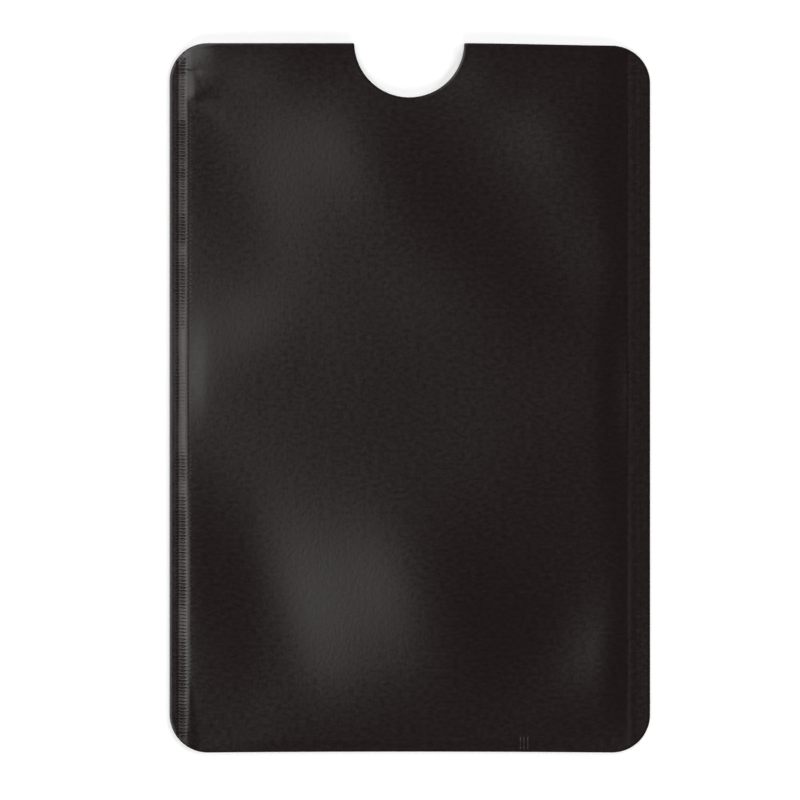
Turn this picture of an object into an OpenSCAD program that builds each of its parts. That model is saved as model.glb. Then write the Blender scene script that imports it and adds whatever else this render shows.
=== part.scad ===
// Sleeve for one payment card: a flat pouch of black foil laminate. Two walls, each of film, foil
// and lining, are welded down both sides and along the bottom. The top is the open mouth, with a
// half-round thumb notch through both walls.
// The sleeve lies on its back, centred on the origin: X runs across it, Y up to the mouth, and Z
// out of the front. Sizes are in millimetres.

/* [Sleeve] */
// Width from side edge to side edge
sleeve_w = 63; // [60:0.5:70]
// Height from the bottom edge to the mouth
sleeve_h = 93; // [88:0.5:100]
// Radius of the four corners
corner_r = 5; // [2:0.5:8]

/* [Thumb notch] */
// Radius of the notch
notch_r = 7.2; // [5:0.1:10]
// Depth of the notch below the mouth
notch_depth = 7.1; // [4:0.1:7.2]

/* [Seals] */
// Width of the weld down each side
side_seal_w = 3; // [2.5:0.1:3.2]
// Width of the weld along the bottom
bottom_seal_w = 1.9; // [1.5:0.1:3]
// Distance from the sleeve's side edge to the crest of the crimped ridge
ridge_inset = 1.9; // [1.5:0.1:1.9]
// Width of the crimped ridge at its foot
ridge_w = 1; // [0.6:0.1:1]
// Height of the crimped ridge above the seal
ridge_h = 0.06; // [0.02:0.01:0.1]

/* [Laminate] */
// Thickness of the black outer film
film_t = 0.1; // [0.05:0.01:0.2]
// Thickness of the aluminium foil
foil_t = 0.03; // [0.01:0.01:0.05]
// Thickness of the heat-seal lining
lining_t = 0.07; // [0.04:0.01:0.12]

/* [Pocket] */
// Free height between the linings, inside the slopes, for a card 0.76 thick
pocket_gap = 0.95; // [0.8:0.05:1.5]
// Width of the slope from a side seal up to the free height
side_slope = 1.4; // [1:0.1:2]
// Width of the slope from the bottom seal up to the free height
bottom_slope = 2.5; // [1.5:0.5:5]

/* [Hidden] */

film_colour = [0.17, 0.155, 0.15];
foil_colour = [0.78, 0.79, 0.8];
lining_colour = [0.62, 0.64, 0.66];
seal_colour = [0.4, 0.4, 0.41];

half_w = sleeve_w / 2;
half_h = sleeve_h / 2;
pocket_half_w = half_w - side_seal_w;
pocket_floor_y = bottom_seal_w - half_h;
weld_t = 2 * lining_t;

// Levels from the table up: the back wall, then the front wall where the seals press it flat
back_foil_z = film_t;
back_lining_z = back_foil_z + foil_t;
front_lining_z = back_lining_z + lining_t;
front_foil_z = back_lining_z + weld_t;
front_film_z = front_foil_z + foil_t;

// A cutting block this high takes in the whole front wall
block_h = 10;

// Outline of both walls, as the die cuts them
module outline() {
    difference() {
        union() {
            square([sleeve_w - 2 * corner_r, sleeve_h], center = true);
            square([sleeve_w, sleeve_h - 2 * corner_r], center = true);
            for (x = [-1, 1])
                for (y = [-1, 1])
                    translate([x * (half_w - corner_r), y * (half_h - corner_r)])
                        circle(corner_r, $fn = 64);
        }
        translate([0, half_h - notch_depth + notch_r])
            circle(notch_r, $fn = 96);
    }
}

// The part of the outline that the side and bottom welds leave free
module pocket_outline() {
    intersection() {
        outline();
        translate([-pocket_half_w, pocket_floor_y])
            square([2 * pocket_half_w, sleeve_h]);
    }
}

// A flat layer of the back wall
module flat_layer(z, thickness, colour) {
    color(colour)
        translate([0, 0, z])
            linear_extrude(thickness)
                children();
}

// All that lies below the front wall: z is its level in the seals, and over the pocket it climbs
// straight from the side and bottom seals to the free height
module below_front_wall(z) {
    intersection() {
        rotate([90, 0, 0])
            linear_extrude(2 * sleeve_h, center = true)
                polygon([
                    [-sleeve_w, z - block_h], [-sleeve_w, z],
                    [-pocket_half_w, z], [side_slope - pocket_half_w, z + pocket_gap],
                    [pocket_half_w - side_slope, z + pocket_gap], [pocket_half_w, z],
                    [sleeve_w, z], [sleeve_w, z - block_h]
                ]);
        rotate([90, 0, 90])
            linear_extrude(2 * sleeve_w, center = true)
                polygon([
                    [-sleeve_h, z - block_h], [-sleeve_h, z],
                    [pocket_floor_y, z], [pocket_floor_y + bottom_slope, z + pocket_gap],
                    [sleeve_h, z + pocket_gap], [sleeve_h, z - block_h]
                ]);
    }
}

// A layer of the front wall
module front_layer(z, thickness) {
    difference() {
        below_front_wall(z + thickness);
        below_front_wall(z);
    }
}

// What its children have in common with a tall block of the given outline
module cut_to_outline() {
    intersection() {
        children(0);
        linear_extrude(block_h)
            children(1);
    }
}

// Ridge that a seal bar leaves along one side of the front film, rooted half way into the film
module crimped_ridge(side) {
    translate([side * (half_w - ridge_inset), 0, front_film_z + film_t])
        rotate([90, 0, 0])
            linear_extrude(sleeve_h, center = true)
                polygon([
                    [-ridge_w / 2, -film_t / 2], [-ridge_w / 2, 0], [0, ridge_h],
                    [ridge_w / 2, 0], [ridge_w / 2, -film_t / 2]
                ]);
}

// Black film of the back wall, on which the sleeve lies
module back_outer_film() {
    flat_layer(0, film_t, film_colour)
        outline();
}

// Aluminium foil of the back wall, which runs out to the cut edge
module back_shield_foil() {
    flat_layer(back_foil_z, foil_t, foil_colour)
        outline();
}

// Heat-seal film of the back wall, up to the welds
module back_lining() {
    flat_layer(back_lining_z, lining_t, lining_colour)
        pocket_outline();
}

// Weld down one side: both linings melted into one strip between the foils
module side_seal(side) {
    flat_layer(back_lining_z, weld_t, seal_colour)
        intersection() {
            outline();
            translate([side * (half_w - side_seal_w / 2), 0])
                square([side_seal_w, sleeve_h], center = true);
        }
}

module left_side_seal() {
    side_seal(-1);
}

module right_side_seal() {
    side_seal(1);
}

// Weld along the bottom, between the side welds
module bottom_seal() {
    flat_layer(back_lining_z, weld_t, seal_colour)
        intersection() {
            outline();
            translate([-pocket_half_w, -half_h])
                square([2 * pocket_half_w, bottom_seal_w]);
        }
}

// Heat-seal film of the front wall, which leaves the welds and rises over the pocket
module front_lining() {
    color(lining_colour)
        cut_to_outline() {
            front_layer(front_lining_z, lining_t);
            pocket_outline();
        }
}

// Aluminium foil of the front wall
module front_shield_foil() {
    color(foil_colour)
        cut_to_outline() {
            front_layer(front_foil_z, foil_t);
            outline();
        }
}

// Black film of the front wall, with the crimped ridge down each side
module front_outer_film() {
    color(film_colour)
        cut_to_outline() {
            union() {
                front_layer(front_film_z, film_t);
                for (side = [-1, 1])
                    crimped_ridge(side);
            }
            outline();
        }
}

back_outer_film();
back_shield_foil();
back_lining();
left_side_seal();
right_side_seal();
bottom_seal();
front_lining();
front_shield_foil();
front_outer_film();
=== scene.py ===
import math

import bpy
import numpy as np
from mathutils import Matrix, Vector
from mathutils.geometry import delaunay_2d_cdt


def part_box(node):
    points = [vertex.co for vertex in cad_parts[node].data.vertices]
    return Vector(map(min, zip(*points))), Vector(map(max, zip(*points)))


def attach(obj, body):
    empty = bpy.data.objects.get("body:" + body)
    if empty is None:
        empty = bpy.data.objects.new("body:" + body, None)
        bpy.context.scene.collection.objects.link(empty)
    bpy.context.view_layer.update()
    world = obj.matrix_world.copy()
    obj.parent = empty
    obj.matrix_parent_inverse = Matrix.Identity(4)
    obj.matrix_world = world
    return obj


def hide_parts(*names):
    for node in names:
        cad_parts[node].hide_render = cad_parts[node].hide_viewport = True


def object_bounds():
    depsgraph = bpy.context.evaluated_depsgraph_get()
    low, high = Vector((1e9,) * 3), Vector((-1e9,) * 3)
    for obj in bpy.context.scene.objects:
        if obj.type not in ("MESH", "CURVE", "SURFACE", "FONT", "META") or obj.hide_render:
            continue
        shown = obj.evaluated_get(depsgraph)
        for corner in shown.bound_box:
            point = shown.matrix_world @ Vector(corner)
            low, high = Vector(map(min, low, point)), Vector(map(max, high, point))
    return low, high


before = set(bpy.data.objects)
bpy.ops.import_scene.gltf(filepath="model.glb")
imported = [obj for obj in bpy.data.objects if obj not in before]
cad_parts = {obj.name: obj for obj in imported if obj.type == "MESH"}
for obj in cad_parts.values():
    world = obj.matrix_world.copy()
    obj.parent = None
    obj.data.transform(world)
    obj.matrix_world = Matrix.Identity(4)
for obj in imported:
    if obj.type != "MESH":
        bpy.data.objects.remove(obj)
cad_low, cad_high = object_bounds()


# Back outer film. The back wall's skin is a satin black laminating film, 0.1 mm thick. One die cuts
# both walls at once, after the welding, so its outline is the outline of every other layer.
MM = 0.001
half_w = cad_high.x / MM
half_h = cad_high.y / MM
corner_r = 5.0
notch_r = 7.2
notch_depth = 7.1
notch_x = -0.08
notch_y = half_h - notch_depth + notch_r
mouth_corner_r = 0.2
mouth_corner_y = half_h - mouth_corner_r
arc_step = 0.35


def arc(x, y, radius, start, end):
    """Points of an arc, its angles in degrees."""
    steps = max(4, round(abs(math.radians(end - start)) * radius / arc_step))
    turns = np.radians(np.linspace(start, end, steps + 1))
    return [(x + radius * math.cos(a), y + radius * math.sin(a)) for a in turns]


def stepped(loop, step):
    """The closed loop with its long stretches cut into steps."""
    points = []
    for (x0, y0), (x1, y1) in zip(loop, loop[1:] + loop[:1]):
        count = max(1, math.ceil(math.hypot(x1 - x0, y1 - y0) / step))
        points += [(x0 + (x1 - x0) * i / count, y0 + (y1 - y0) * i / count) for i in range(count)]
    return points


def cut_off(loop, axis, limit, side):
    """The part of the loop beyond a limit on one axis, on the side given as 1 or -1."""
    points = []
    for a, b in zip(loop, loop[1:] + loop[:1]):
        in_a, in_b = side * (a[axis] - limit) > 0, side * (b[axis] - limit) > 0
        if in_a:
            points.append(a)
        if in_a != in_b:
            t = (limit - a[axis]) / (b[axis] - a[axis])
            points.append((a[0] + t * (b[0] - a[0]), a[1] + t * (b[1] - a[1])))
    return points


far_x, far_y = half_w - corner_r, half_h - corner_r
meeting = math.degrees(math.asin((mouth_corner_y - notch_y) / notch_r))
beside_notch = notch_r + mouth_corner_r
die_cut = (
    arc(far_x, -far_y, corner_r, -90, 0)
    + arc(far_x, far_y, corner_r, 0, 90)
    + arc(notch_x + beside_notch, mouth_corner_y, mouth_corner_r, 90, 180)
    + arc(notch_x, notch_y, notch_r, meeting, -180 - meeting)[1:-1]
    + arc(notch_x - beside_notch, mouth_corner_y, mouth_corner_r, 0, 90)
    + arc(-far_x, far_y, corner_r, 90, 180)
    + arc(-far_x, -far_y, corner_r, 180, 270)
)


def inset(x, y):
    """How far in from the nearest cut edge."""
    over_x = np.maximum(abs(x) - far_x, 0)
    over_y = np.maximum(abs(y) - far_y, 0)
    straight = np.minimum(half_w - abs(x), half_h - abs(y))
    rounded = np.where((over_x > 0) & (over_y > 0), corner_r - np.hypot(over_x, over_y), straight)
    return np.minimum(rounded, np.hypot(x - notch_x, y - notch_y) - notch_r)


def eased(low, high, value):
    """0 below low, 1 above high, and a soft curve between them."""
    t = np.clip((value - low) / (high - low), 0, 1)
    return t * t * (3 - 2 * t)


def hump(middle, half, value):
    """1 at the middle, and a soft fall to both sides of it."""
    return np.exp(-(((value - middle) / half) ** 2))


def as_cut(x, y):
    """Moves points to where the die really cut: low at the top right, bowed at the bottom."""
    top_drop = 0.34 * eased(6, 30, x) * eased(30, half_h, y)
    bottom_bow = 0.12 * (1 - np.clip(x / far_x, -1, 1) ** 2) * eased(30, half_h, -y)
    return x, y - top_drop + bottom_bow


def net(xs, ys, clear=0.65):
    """Points of a net, as far as they lie clear of the cut edge."""
    x, y = (a.ravel() for a in np.meshgrid(xs, ys))
    kept = inset(x, y) > clear
    return list(zip(x[kept], y[kept]))


still_parallel = 0.02


def along_edge(loop, distances):
    """Points that follow the loop at these distances inside it, but for those at sharp turns."""
    p = np.array(loop)
    t = np.roll(p, -1, axis=0) - np.roll(p, 1, axis=0)
    inwards = np.stack([-t[:, 1], t[:, 0]], axis=1) / np.hypot(t[:, 0], t[:, 1])[:, None]
    points = []
    for d in distances:
        x, y = (p + d * inwards).T
        kept = abs(inset(x, y) - d) < still_parallel
        points += list(zip(x[kept], y[kept]))
    return points


def face(loop, inner):
    """One face of a layer: its points, its triangles, and where the loop's points stand in it.

    The triangles across the notch, whose corners follow the loop backwards, are left out.
    """
    count = len(loop)
    points = [Vector(p) for p in loop + inner]
    result = delaunay_2d_cdt(points, [], [list(range(count))], 1, 1e-6, True)
    verts, _, triangles, sources = result[:4]
    place = {source: i for i, group in enumerate(sources) for source in group}
    on_loop = {place[i]: i for i in range(count)}
    kept = []
    for triangle in triangles:
        i, j, k = (on_loop.get(corner, -1) for corner in triangle)
        if min(i, j, k) < 0 or i < j < k or j < k < i or k < i < j:
            kept.append(tuple(triangle))
    xy = np.array([tuple(v) for v in verts])
    return xy[:, 0], xy[:, 1], kept, [place[i] for i in range(count)]


cut_angle = math.radians(50)


def layer(name, loop, tops, lows, top_z, low_z, material, node, crimping=None):
    """A closed layer of the laminate between two heights, which are functions of x and y.

    tops and lows are the points inside its two faces, and crimping is the inputs of the crimp.
    """
    up_x, up_y, up_triangles, up_loop = face(loop, tops)
    down_x, down_y, down_triangles, down_loop = face(loop, lows)
    shift = len(up_x)
    x = np.concatenate([up_x, down_x])
    y = np.concatenate([up_y, down_y])
    z = np.concatenate([top_z(up_x, up_y), low_z(down_x, down_y)])
    x, y = as_cut(x, y)
    faces = list(up_triangles) + [(c + shift, b + shift, a + shift) for a, b, c in down_triangles]
    for i in range(len(loop)):
        a, b = up_loop[i], up_loop[(i + 1) % len(loop)]
        c, d = down_loop[(i + 1) % len(loop)] + shift, down_loop[i] + shift
        faces.append((a, d, c, b))
    mesh = bpy.data.meshes.new(name)
    mesh.from_pydata(np.stack([x, y, z], axis=1) * MM, [], faces)
    fine_face = mesh.attributes.new("fine_face", "BOOLEAN", "POINT")
    fine_face.data.foreach_set("value", (np.arange(len(x)) < shift) == (len(tops) > len(lows)))
    mesh.shade_smooth()
    mesh.set_sharp_from_angle(angle=cut_angle)
    mesh.materials.append(material)
    piece = bpy.data.objects.new(name, mesh)
    bpy.context.scene.collection.objects.link(piece)
    if crimping:
        crimped(piece, crimping)
    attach(piece, "root")
    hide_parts(node)


def maths(tree):
    """A function that adds a math node to the tree and gives its result."""
    def result(operation, *values):
        node = tree.nodes.new("ShaderNodeMath")
        node.operation = operation
        for socket, value in zip(node.inputs, values):
            if isinstance(value, bpy.types.NodeSocket):
                tree.links.new(value, socket)
            else:
                socket.default_value = value
        return node.outputs[0]
    return result


def new_group(name, tree_kind, inputs, output):
    """A node group with these sockets, what it is given, and its math function."""
    group = bpy.data.node_groups.new(name, tree_kind)
    for kind, names in inputs.items():
        for label in names:
            group.interface.new_socket(label, in_out="INPUT", socket_type="NodeSocket" + kind)
    group.interface.new_socket(output[1], in_out="OUTPUT", socket_type="NodeSocket" + output[0])
    return group, group.nodes.new("NodeGroupInput").outputs, maths(group)


# The row of marks that the teeth of the seal bars press into the film
crimp, given, do = new_group("crimp", "GeometryNodeTree", {
    "Geometry": ["Laminate"],
    "Float": ["Half Width", "Pitch", "Left Depth", "Right Depth", "Facing"],
    "Material": ["Finish"],
}, ("Geometry", "Laminate"))
spot = crimp.nodes.new("ShaderNodeSeparateXYZ")
crimp.links.new(crimp.nodes.new("GeometryNodeInputPosition").outputs[0], spot.inputs[0])
across, up = do("DIVIDE", spot.outputs["X"], MM), do("DIVIDE", spot.outputs["Y"], MM)
from_side = do("SUBTRACT", given["Half Width"], do("ABSOLUTE", across))
on_left = do("LESS_THAN", across, 0)
uneven = crimp.nodes.new("ShaderNodeTexNoise")
uneven.noise_dimensions = "1D"
uneven.inputs["Scale"].default_value = 0.16
uneven.inputs["Detail"].default_value = 2
left_offset = 170
crimp.links.new(do("ADD", up, do("MULTIPLY", on_left, left_offset)), uneven.inputs["W"])
mean_pressure, least_pressure, contrast = 0.75, 0.4, 3.6
pressure = do("MULTIPLY_ADD", do("SUBTRACT", uneven.outputs[0], 0.5), contrast, mean_pressure)
pressure = do("MINIMUM", do("MAXIMUM", pressure, least_pressure), 1)


def marks(middle, half, pitch, slant, sharp, depth):
    """One column of pressed marks, its middle and half width measured in from the side edge.

    pitch is the marks' spacing, slant how far they lean, sharp how narrow each one is, and depth
    their share of the full depth.
    """
    off = do("DIVIDE", do("SUBTRACT", from_side, middle), half)
    column = do("EXPONENT", do("MULTIPLY", do("MULTIPLY", off, off), -1))
    turn = do("MULTIPLY_ADD", off, slant, do("MULTIPLY", do("DIVIDE", up, pitch), math.tau))
    row = do("POWER", do("MULTIPLY_ADD", do("COSINE", turn), 0.5, 0.5), sharp)
    return do("MULTIPLY", do("MULTIPLY", column, row), depth)


# Half way up the film stood off the bars, so the middle column is faint there.
slack_y, slack_reach = 2, 15
from_slack = do("DIVIDE", do("SUBTRACT", up, slack_y), slack_reach)
slack = do("EXPONENT", do("MULTIPLY", do("MULTIPLY", from_slack, from_slack), -1))
firm = do("MULTIPLY_ADD", slack, -0.8, 1)
outer_marks = marks(1.12, 0.17, given["Pitch"], 0.3, 3, 0.8)
middle_marks = do("MULTIPLY", marks(1.75, 0.38, given["Pitch"], 0.5, 2.2, 1.0), firm)
wide_pitch = do("MULTIPLY", given["Pitch"], 1.28)
inner_marks = marks(2.55, 0.16, wide_pitch, 0.5, 2, 0.2)
pressed = do("ADD", do("ADD", outer_marks, middle_marks), inner_marks)
side_depth = do("ADD", do("MULTIPLY", on_left, given["Left Depth"]),
                do("MULTIPLY", do("SUBTRACT", 1, on_left), given["Right Depth"]))
pressed = do("MULTIPLY", do("MULTIPLY", pressed, pressure), side_depth)
shift_by = crimp.nodes.new("ShaderNodeCombineXYZ")
crimp.links.new(do("MULTIPLY", do("MULTIPLY", pressed, given["Facing"]), -MM), shift_by.inputs["Z"])
fine_face = crimp.nodes.new("GeometryNodeInputNamedAttribute")
fine_face.data_type = "BOOLEAN"
fine_face.inputs["Name"].default_value = "fine_face"
press = crimp.nodes.new("GeometryNodeSetPosition")
crimp.links.new(given["Laminate"], press.inputs["Geometry"])
crimp.links.new(fine_face.outputs["Attribute"], press.inputs["Selection"])
crimp.links.new(shift_by.outputs[0], press.inputs["Offset"])
realized = crimp.nodes.new("GeometryNodeRealizeInstances")
finished = crimp.nodes.new("GeometryNodeSetMaterial")
crimp.links.new(press.outputs[0], realized.inputs[0])
crimp.links.new(realized.outputs[0], finished.inputs["Geometry"])
crimp.links.new(given["Finish"], finished.inputs["Material"])
crimp.links.new(finished.outputs[0], crimp.nodes.new("NodeGroupOutput").inputs[0])


def crimped(piece, inputs):
    """Presses the marks of the seal bars into the finer face of a layer."""
    modifier = piece.modifiers.new("crimp", "NODES")
    modifier.node_group = crimp
    inputs = {**inputs, "Finish": piece.data.materials[0]}
    for socket in crimp.interface.items_tree:
        if socket.in_out == "INPUT" and socket.name in inputs:
            modifier[socket.identifier] = inputs[socket.name]
    depsgraph = bpy.context.evaluated_depsgraph_get()
    mesh = bpy.data.meshes.new_from_object(
        piece.evaluated_get(depsgraph), preserve_all_data_layers=True, depsgraph=depsgraph
    )
    piece.modifiers.clear()
    piece.data = mesh


def material_named(name):
    """A new material's node tree, its Principled shader and the object's coordinates."""
    material = bpy.data.materials.new(name)
    material.use_nodes = True
    tree = material.node_tree
    place = tree.nodes.new("ShaderNodeTexCoord").outputs["Object"]
    return material, tree, tree.nodes["Principled BSDF"].inputs, place


grain, given, do = new_group("grain", "ShaderNodeTree", {
    "Vector": ["Place"],
    "Float": ["Length", "Width", "Detail"],
}, ("Float", "Height"))
spot = grain.nodes.new("ShaderNodeSeparateXYZ")
grain.links.new(given["Place"], spot.inputs[0])
scaled = grain.nodes.new("ShaderNodeCombineXYZ")
grain.links.new(do("DIVIDE", spot.outputs["X"], given["Length"]), scaled.inputs["X"])
grain.links.new(do("DIVIDE", spot.outputs["Y"], given["Width"]), scaled.inputs["Y"])
noise = grain.nodes.new("ShaderNodeTexNoise")
noise.inputs["Scale"].default_value = 1
grain.links.new(given["Detail"], noise.inputs["Detail"])
grain.links.new(scaled.outputs[0], noise.inputs["Vector"])
grain.links.new(noise.outputs[0], grain.nodes.new("NodeGroupOutput").inputs[0])


def grained(tree, place, length, width, detail=0):
    """The height of a grain with this length across the sleeve and this width along it, in mm."""
    node = tree.nodes.new("ShaderNodeGroup")
    node.node_tree = grain
    tree.links.new(place, node.inputs["Place"])
    node.inputs["Length"].default_value = length * MM
    node.inputs["Width"].default_value = width * MM
    node.inputs["Detail"].default_value = detail
    return node.outputs["Height"]


def ramp(tree, value, colours, low=0.3, high=0.7):
    """A colour between two, as the value goes from low to high."""
    node = tree.nodes.new("ShaderNodeValToRGB")
    for stop, place, colour in zip(node.color_ramp.elements, (low, high), colours):
        stop.position = place
        stop.color = (*colour, 1)
    tree.links.new(value, node.inputs[0])
    return node.outputs["Color"]


def bumped(tree, height, distance, normal):
    """Feeds a height into the shader's normal, with its distance in millimetres."""
    bump = tree.nodes.new("ShaderNodeBump")
    bump.inputs["Distance"].default_value = distance * MM
    tree.links.new(height, bump.inputs["Height"])
    tree.links.new(bump.outputs[0], normal)


black_film, tree, shader, place = material_named("satin_black_film")
do = maths(tree)
grain_sizes = (0.8, 0.45), (0.45, 0.8), (0.4, 0.4)
weft, warp, fine = (grained(tree, place, *size) for size in grain_sizes)
weave = do("DIVIDE", do("ADD", do("ADD", weft, warp), fine), 3)
grain_height = 0.007
bumped(tree, weave, grain_height, shader["Normal"])
blacks = (0.0115, 0.0063, 0.0063), (0.0145, 0.0082, 0.0082)
tree.links.new(ramp(tree, weave, blacks), shader["Base Color"])
tree.links.new(do("MULTIPLY_ADD", weft, 0.12, 0.145), shader["Roughness"])
shader["IOR"].default_value = 1.5

film_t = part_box("back_outer_film")[1].z / MM
edge_loop = stepped(die_cut, 0.45)
edge_points = along_edge(edge_loop, [0.07, 0.14, 0.21, 0.3, 0.38, 0.46, 0.56])
left_weld_w = 2.5
right_weld_w = (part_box("right_side_seal")[1].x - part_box("right_side_seal")[0].x) / MM
floor_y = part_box("bottom_seal")[1].y / MM
crimp_pitch = 0.453
crease_x = 14.6, 15.05, 15.55


def from_left(near, far, step):
    """Columns from one distance in from the left edge to another."""
    return np.arange(near, far, step) - half_w


def from_right(near, far, step):
    """Columns from one distance in from the right edge to another."""
    return half_w - np.arange(near, far, step)


def rows(step):
    """Rows over the whole height."""
    return np.arange(-half_h, half_h, step)


# A net is finest where the bars press their marks, and finer along the welds than over the pocket.
near_bottom_y = -41.5
fine_points = (
    edge_points
    + net(from_left(0.8, 2.85, 0.1), rows(crimp_pitch / 6))
    + net(from_right(0.8, 3.3, 0.15), rows(crimp_pitch / 4))
    + net(from_left(3.0, 5.9, 0.3), rows(0.4))
    + net(from_right(3.5, 5.9, 0.3), rows(0.4))
    + net(np.arange(-25.5, 25.6, 0.6), np.arange(-half_h + 0.75, near_bottom_y, 0.25))
    + net(np.arange(-25.5, 25.6, 0.7), np.arange(near_bottom_y + 0.4, half_h, 0.7))
    + net(np.arange(crease_x[0] - 0.3, crease_x[2] + 0.3, 0.05), np.arange(-46, -44.3, 0.11), 0.2)
)
coarse_points = (
    net(np.concatenate([from_left(0.8, 2.6, 0.6), from_right(0.8, 2.6, 0.6)]), rows(1.2))
    + net(np.concatenate([from_left(2.75, 6, 0.3), from_right(2.75, 6, 0.3)]), rows(1.2))
    + net(np.arange(-25.2, 25.3, 1.8), np.arange(-half_h + 0.9, near_bottom_y, 0.4))
    + net(np.arange(-25.2, 25.3, 1.8), np.arange(near_bottom_y + 0.5, half_h, 1.8))
)


def rolled_edge(x, y):
    """How far the die has drawn the film's edge in towards the other wall."""
    from_edge = inset(x, y)
    return 0.03 * (1 - eased(0, 0.22, from_edge)) - 0.004 * hump(0.38, 0.08, from_edge)


def pressing(left_depth, right_depth, facing):
    """The crimp's inputs for marks of these depths, on a face that looks up, 1, or down, -1."""
    return {
        "Half Width": half_w, "Pitch": crimp_pitch, "Left Depth": left_depth,
        "Right Depth": right_depth, "Facing": facing,
    }


layer(
    "back_wall_film", edge_loop, coarse_points, fine_points,
    lambda x, y: np.full_like(x, film_t), lambda x, y: np.maximum(rolled_edge(x, y), 0),
    black_film, "back_outer_film", pressing(0.05, 0.03, -1),
)


# Back shield foil. Bright rolled aluminium, which blocks the radio field, is glued to the film and
# runs out to the cut edge.
foil, tree, shader, place = material_named("rolled_aluminium_foil")
bumped(tree, grained(tree, place, 0.05, 4, 2), 0.002, shader["Normal"])
bright = (0.73, 0.74, 0.76), (0.8, 0.81, 0.83)
tree.links.new(ramp(tree, grained(tree, place, 3, 12, 2), bright), shader["Base Color"])
shader["Metallic"].default_value = 1
shader["Roughness"].default_value = 0.28


def level(node, end):
    """A function that gives the same height everywhere: the node's lowest, 0, or its highest, 1."""
    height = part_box(node)[end].z / MM
    return lambda x, y: np.full_like(x, height)


layer(
    "back_wall_foil", edge_loop, coarse_points, coarse_points,
    level("back_shield_foil", 1), level("back_shield_foil", 0),
    foil, "back_shield_foil",
)


# Back lining. A milky heat-seal film covers the foil inside the pocket, between the welds, where
# the card slides on it.
lining, tree, shader, place = material_named("milky_heat_seal_film")
bumped(tree, grained(tree, place, 0.3, 0.3, 2), 0.003, shader["Normal"])
milky = (0.5, 0.51, 0.53), (0.6, 0.61, 0.63)
tree.links.new(ramp(tree, grained(tree, place, 6, 6, 3), milky), shader["Base Color"])
shader["Metallic"].default_value = 0.4
shader["Roughness"].default_value = 0.38

pocket_left, pocket_right = left_weld_w - half_w, half_w - right_weld_w
inside = cut_off(cut_off(die_cut, 0, pocket_left, 1), 0, pocket_right, -1)
hidden_step = 0.6
pocket_loop = stepped(cut_off(inside, 1, floor_y, 1), hidden_step)


def within(points, low_x, high_x, low_y, high_y=half_h):
    """Those of the points that lie inside a rectangle."""
    return [p for p in points if low_x < p[0] < high_x and low_y < p[1] < high_y]


clear = 0.15
pocket_points = within(coarse_points, pocket_left + clear, pocket_right - clear, floor_y + clear)
layer(
    "back_wall_lining", pocket_loop, pocket_points, pocket_points,
    level("back_lining", 1), level("back_lining", 0),
    lining, "back_lining",
)


# Welds. Heated bars press both linings together down the sides and along the bottom, and melt them
# into one strip that fills the room between the foils.
weld, tree, shader, place = material_named("melted_weld")
bumped(tree, grained(tree, place, 0.15, 0.4, 2), 0.01, shader["Normal"])
greys = (0.24, 0.24, 0.25), (0.36, 0.36, 0.37)
tree.links.new(ramp(tree, grained(tree, place, 0.6, 0.9, 2), greys), shader["Base Color"])
shader["Roughness"].default_value = 0.45

# Soft swells and hollows of the empty front wall: x, y, direction of the long axis in degrees, half
# its length, half its width, and its height.
swells = [
    (-18, -27, 110, 15, 7, -0.3),
    (3, -26.5, 120, 13, 8.5, 0.44),
    (12, -12, 45, 11, 7, 0.06),
    (20, -31, 45, 11, 7, -0.24),
    (29, -35, 70, 11, 8, 0.22),
    (4, 9, 20, 22, 9, 0.22),
    (18, 2, 90, 11, 14, 0.34),
    (27, 0, 90, 12, 7, 0.25),
    (-4, 31, 130, 11, 7, 0.25),
    (-21, 27, 110, 12, 6, -0.12),
    (-18, 44, 0, 7, 5, 0.18),
    (10, 42, 0, 5, 4, 0.1),
    (22, 33, 135, 10, 7, 0.32),
    (18, 18, 147, 12, 7, -0.3),
    (-18, 8, 60, 8, 6, 0.13),
    (-9, 9, 60, 6, 7, 0.08),
]
# Heights of the other forms, and the runs over which the wall climbs from the welds
arch = 0.28
side_run = 4
bottom_run = 10
left_ridge = 0.17
right_ridge = 0.016
tucked_fold = 0.12
slack_fold = 0.07
nick = 0.05
bottom_swell = 0.12
lip_flare = 0.3
lip_foot_y = 41.5


def climb(distance, run):
    """From 0 at a weld's inner edge to 1 after the run: steep at first, then levelling off."""
    return 1 - (1 - np.clip(distance / run, 0, 1)) ** 2


def mounds(x, y, table):
    """The height that a table of swells adds up to."""
    height = np.zeros_like(x)
    for mound_x, mound_y, turn, length, width, rise_by in table:
        along = math.cos(math.radians(turn)), math.sin(math.radians(turn))
        forwards = (x - mound_x) * along[0] + (y - mound_y) * along[1]
        sideways = (x - mound_x) * along[1] - (y - mound_y) * along[0]
        height += rise_by * hump(0, length, forwards) * hump(0, width, sideways)
    return height


def fold(foot, crest, end, distance):
    """A fold along a weld, 1 high: up from its foot to its crest, and down again to its end."""
    return eased(foot, crest, distance) * (1 - eased(crest, end, distance))


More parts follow.
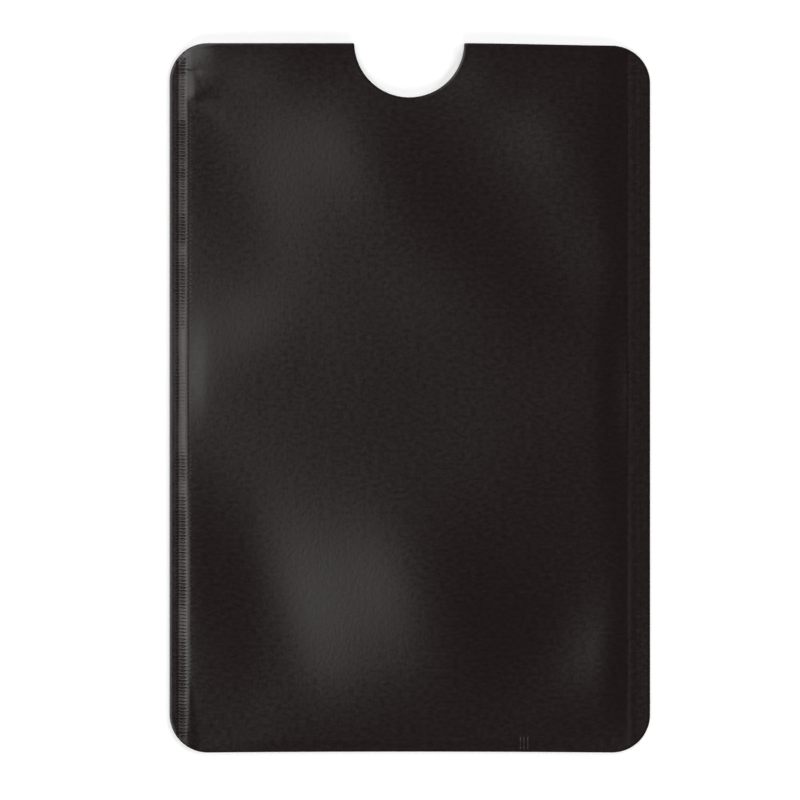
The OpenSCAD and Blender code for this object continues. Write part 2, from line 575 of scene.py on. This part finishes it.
def rise(x, y):
    """How far the front wall stands above its level in the welds."""
    left, right, up = x + half_w, half_w - x, y + half_h
    over_left, over_right = np.maximum(left - left_weld_w, 0), np.maximum(right - right_weld_w, 0)
    inner = climb(over_left, side_run) * climb(over_right, side_run)
    from_bottom = climb(y - floor_y, bottom_run)
    bow = 4 * over_left * over_right / (pocket_right - pocket_left) ** 2
    height = (arch * bow + mounds(x, y, swells) * inner) * from_bottom

    # The ridge beside the left weld fades towards the bottom, and the one at the right upwards.
    ridge = left_ridge * eased(1.2, 2.4, left) * np.maximum(from_bottom, 1 - eased(2.5, 4, left))
    height += ridge * climb(over_right, side_run) * (0.3 + 0.7 * eased(-46, -31, y))
    height += right_ridge * hump(2.5, 0.5, right) * (0.5 + 0.5 * eased(0, -25, y))

    # The slack film is tucked against the left weld near the mouth and low down, and stands off it
    # half way up. A small nick crosses the fold at the mouth.
    soft = 0.6 + 8 * eased(2.5, 12, left)
    near_mouth = eased(39.2 - soft, 39.2 + soft, y)
    drawn = 0.35 * eased(40.5, 44, y)
    low_down = (1 - eased(-24, -6, y)) * from_bottom
    height += tucked_fold * fold(1.9 - drawn, 3.3 - drawn, 14, left) * near_mouth
    height += tucked_fold * fold(1.5, 2.7, 12, left) * low_down
    height += slack_fold * fold(2.1, 5, 14, left) * hump(4, 6, y)
    height -= nick * hump(42.7, 0.35, y) * hump(3.2, 1, left)

    # A low swell lies along the bottom weld, and the mouth's lip is flared a little.
    clear_of_sides = eased(0, 14, over_left) * eased(0, 14, over_right)
    height += bottom_swell * clear_of_sides * eased(0, 2, up) * (1 - eased(3, 14, up))
    lip = lip_flare * np.clip((y - lip_foot_y) / (half_h - lip_foot_y), 0, 1) ** 2 * inner

    # Both welds rise a little from the cut edge inwards, and lift the whole wall.
    left_lift = 0.022 + 0.033 * hump(5, 14, y) - 0.015 * eased(-22, -32, y)
    right_lift = 0.025 - 0.02 * eased(-24, -34, y)
    lift = left_lift + (right_lift - left_lift) * eased(-26, 26, x)
    lift *= np.clip(np.minimum(left, right) / 1.4, 0, 1)
    return np.maximum(height, 0) + lip + lift


def raised(node, end):
    """A function that lifts a face of a front layer, 0 the lower and 1 the upper, by the rise."""
    base = {
        "front_lining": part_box("back_lining")[1].z,
        "front_shield_foil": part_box("left_side_seal")[1].z,
        "front_outer_film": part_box("front_outer_film")[0].z,
    }[node]
    twin_low, twin_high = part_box(node.replace("front", "back"))
    height = (base + end * (twin_high.z - twin_low.z)) / MM
    return lambda x, y: height + rise(x, y)


weld_outlines = {
    "left_side_weld": cut_off(die_cut, 0, pocket_left, -1),
    "right_side_weld": cut_off(die_cut, 0, pocket_right, 1),
    "bottom_weld": cut_off(inside, 1, floor_y, -1),
}
for name, outline in weld_outlines.items():
    xs, ys = zip(*outline)
    points = within(
        coarse_points, min(xs) + clear, max(xs) - clear, min(ys) + clear, max(ys) - clear
    )
    layer(
        name, stepped(outline, hidden_step), points, points,
        raised("front_shield_foil", 0), level("left_side_seal", 0),
        weld, name.replace("weld", "seal"),
    )


# Front lining. The same heat-seal film on the inside of the front wall. It leaves the welds and
# arches over the pocket.
layer(
    "front_wall_lining", pocket_loop, pocket_points, pocket_points,
    raised("front_lining", 1), raised("front_lining", 0),
    lining, "front_lining",
)


# Front shield foil. The same aluminium foil in the front wall. It lies on the welds, runs out to
# the cut edge and follows the lining over the pocket.
layer(
    "front_wall_foil", edge_loop, coarse_points, coarse_points,
    raised("front_shield_foil", 1), raised("front_shield_foil", 0),
    foil, "front_shield_foil",
)


# Front outer film. The skin that the photograph shows is slack over the empty pocket, so it lies in
# soft folds, and the seal bars have crimped it down both sides.
def creases(x, y):
    """Three short creases across the bottom weld."""
    ridges = sum(hump(crease, 0.08, x) for crease in crease_x)
    return 0.02 * ridges * eased(-44.3, -44.9, y)


layer(
    "front_wall_film", edge_loop, fine_points, coarse_points,
    lambda x, y: raised("front_outer_film", 1)(x, y) - rolled_edge(x, y) + creases(x, y),
    raised("front_outer_film", 0),
    black_film, "front_outer_film", pressing(0.068, 0.015, 1),
)


# Floor. A white table, which is bright wherever the camera sees it and keeps the sleeve's shadow.
floor_mesh = bpy.data.meshes.new("floor")
reach = 6.0
floor_z = -0.00002
corners = (-reach, -reach), (reach, -reach), (reach, reach), (-reach, reach)
floor_mesh.from_pydata([(x, y, floor_z) for x, y in corners], [], [(0, 1, 2, 3)])
floor = bpy.data.objects.new("floor", floor_mesh)
bpy.context.scene.collection.objects.link(floor)
white_table, tree, shader, place = material_named("white_table")
whites = (0.79, 0.79, 0.79), (0.81, 0.81, 0.81)
tree.links.new(ramp(tree, grained(tree, place, 40, 40, 2), whites), shader["Base Color"])
shader["Roughness"].default_value = 1
shader["Specular IOR Level"].default_value = 0
shader["Emission Color"].default_value = (1, 1, 1, 1)
do = maths(tree)
rays = tree.nodes.new("ShaderNodeLightPath").outputs
seen = do("MAXIMUM", rays["Is Camera Ray"], rays["Is Glossy Ray"])
seen = do("MAXIMUM", seen, rays["Is Transmission Ray"])
floor_glow = 0.4
tree.links.new(do("MULTIPLY", seen, floor_glow), shader["Emission Strength"])
floor_mesh.materials.append(white_table)


# Studio. The camera looks straight down on the sleeve with a long lens. A soft box on the left, a
# little off the vertical, gives the film its sheen, and the rest of the light comes from low down.
scene = bpy.context.scene
scene.view_settings.view_transform = "Standard"
camera = bpy.data.objects.new("camera", bpy.data.cameras.new("camera"))
scene.collection.objects.link(camera)
scene.camera = camera
camera_height = 2.7
view_width = 0.1049
camera.location = (-0.00129, -0.00028, camera_height)
camera.data.sensor_width = 36
camera.data.lens = camera.data.sensor_width * camera_height / view_width
camera.data.clip_end = 50


def soft_box(name, place, size, radiance):
    """A rectangular lamp that faces the sleeve, with its brightness as seen from there."""
    data = bpy.data.lights.new(name, "AREA")
    data.shape = "RECTANGLE"
    data.size, data.size_y = size
    data.energy = radiance * math.pi * size[0] * size[1]
    lamp = bpy.data.objects.new(name, data)
    lamp.location = place
    lamp.rotation_mode = "QUATERNION"
    lamp.rotation_quaternion = (-Vector(place)).to_track_quat("-Z", "Y")
    lamp.visible_camera = False
    scene.collection.objects.link(lamp)


soft_box("key", (-0.84, 0.15, 3.78), (1.6, 1.02), 1.8)
soft_box("left_panel", (-2.55, 0.3, 3.79), (1.6, 2.28), 3.2)
soft_box("right_fill", (4.5, 0.9, 3.3), (1.8, 1.8), 8)
soft_box("near_fill", (0.9, -4.5, 3.3), (1.8, 1.8), 8)
soft_box("far_fill", (2.1, 4.5, 3.6), (1.8, 1.8), 8)

world = bpy.data.worlds.new("studio")
scene.world = world
world.use_nodes = True
tree = world.node_tree
direction = tree.nodes.new("ShaderNodeTexCoord").outputs["Generated"]
split = tree.nodes.new("ShaderNodeSeparateXYZ")
tree.links.new(direction, split.inputs[0])
fade = tree.nodes.new("ShaderNodeMapRange")
fade.interpolation_type = "SMOOTHSTEP"
for name, value in (("From Min", 0.3), ("From Max", 0.6), ("To Min", 1.0), ("To Max", 0.05)):
    fade.inputs[name].default_value = value
tree.links.new(split.outputs["Z"], fade.inputs["Value"])
background = tree.nodes["Background"].inputs
tree.links.new(fade.outputs["Result"], background["Strength"])
background["Color"].default_value = (1, 1, 1, 1)
